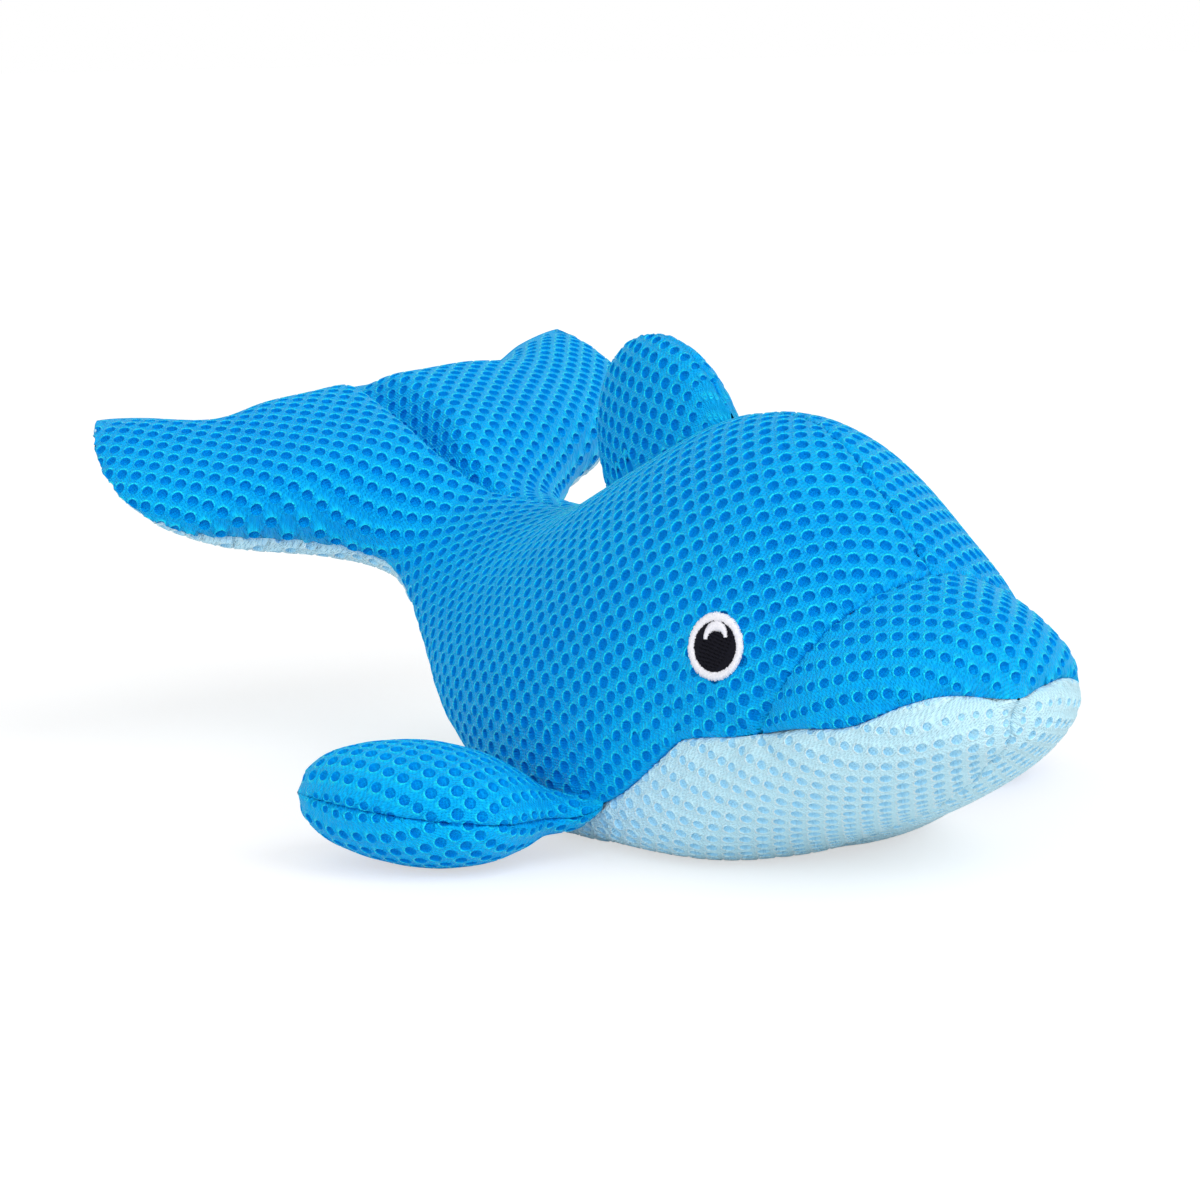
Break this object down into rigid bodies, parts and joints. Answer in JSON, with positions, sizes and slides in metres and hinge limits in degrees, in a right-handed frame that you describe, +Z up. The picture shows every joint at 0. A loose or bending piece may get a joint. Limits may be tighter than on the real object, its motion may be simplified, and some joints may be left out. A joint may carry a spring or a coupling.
{
  "type": "stuffed dolphin dog toy",
  "caption": "Stuffed dolphin dog toy in blue and pale perforated mesh fabric, with a padded head and body, raised flukes, a dorsal fin, side flippers, embroidered eyes and a hidden squeaker.",
  "frame": {"origin": "on the resting surface, under the middle of the toy's bounding box", "axes": "+X towards the nose, +Y towards the dolphin's left side, +Z up"},
  "size_m": [0.3, 0.2476, 0.1304],
  "materials": {
    "blue_mesh": "thick perforated knitted spacer mesh, soft sheen",
    "pale_mesh": "thick perforated knitted spacer mesh, soft sheen",
    "white_thread": "satin-stitch embroidery",
    "black_thread": "satin-stitch embroidery",
    "fibre_filling": "loose polyester fibre",
    "squeaker_plastic": "thin soft moulded plastic"
  },
  "bodies": {
    "body": {"beak_panel": "blue_mesh", "body_panel_right": "blue_mesh", "body_panel_left": "blue_mesh", "belly_panel_right": "pale_mesh", "belly_panel_left": "pale_mesh", "body_filling": "fibre_filling", "squeaker_bladder": "squeaker_plastic", "squeaker_reed": "squeaker_plastic", "eye_white_right": "white_thread", "eye_white_left": "white_thread", "eye_pupil_right": "black_thread", "eye_pupil_left": "black_thread", "eye_glint_right": "white_thread", "eye_glint_left": "white_thread"},
    "tail": {"tail_panel_right": "blue_mesh", "tail_panel_left": "blue_mesh", "tail_underside_right": "pale_mesh", "tail_underside_left": "pale_mesh", "tail_filling": "fibre_filling"},
    "dorsal_fin": {"dorsal_fin_panel_right": "blue_mesh", "dorsal_fin_panel_left": "blue_mesh", "dorsal_fin_filling": "fibre_filling"},
    "flipper_right": {"flipper_upper_right": "blue_mesh", "flipper_lower_right": "blue_mesh", "flipper_filling_right": "fibre_filling"},
    "flipper_left": {"flipper_upper_left": "blue_mesh", "flipper_lower_left": "blue_mesh", "flipper_filling_left": "fibre_filling"}
  },
  "joints": [
    {"name": "tail_bend", "type": "hinge", "parent": "body", "child": "tail", "pos_m": [-0.0489, 0, 0.05028], "axis": [0, 1, 0], "range_deg": [-25, 25], "stiffness_Nm_per_rad": 0.4},
    {"name": "dorsal_fin_lean", "type": "hinge", "parent": "body", "child": "dorsal_fin", "pos_m": [0.00845, 0, 0.09628], "axis": [0.8979, 0, 0.4401], "range_deg": [-15, 15], "stiffness_Nm_per_rad": 0.1},
    {"name": "flipper_right_flap", "type": "hinge", "parent": "body", "child": "flipper_right", "pos_m": [0.04461, -0.06209, 0.01233], "axis": [-0.9272, 0.3746, 0], "range_deg": [-35, 25], "stiffness_Nm_per_rad": 0.15},
    {"name": "flipper_left_flap", "type": "hinge", "parent": "body", "child": "flipper_left", "pos_m": [0.04461, 0.06209, 0.01233], "axis": [0.9272, 0.3746, 0], "range_deg": [-35, 25], "stiffness_Nm_per_rad": 0.15}
  ]
}
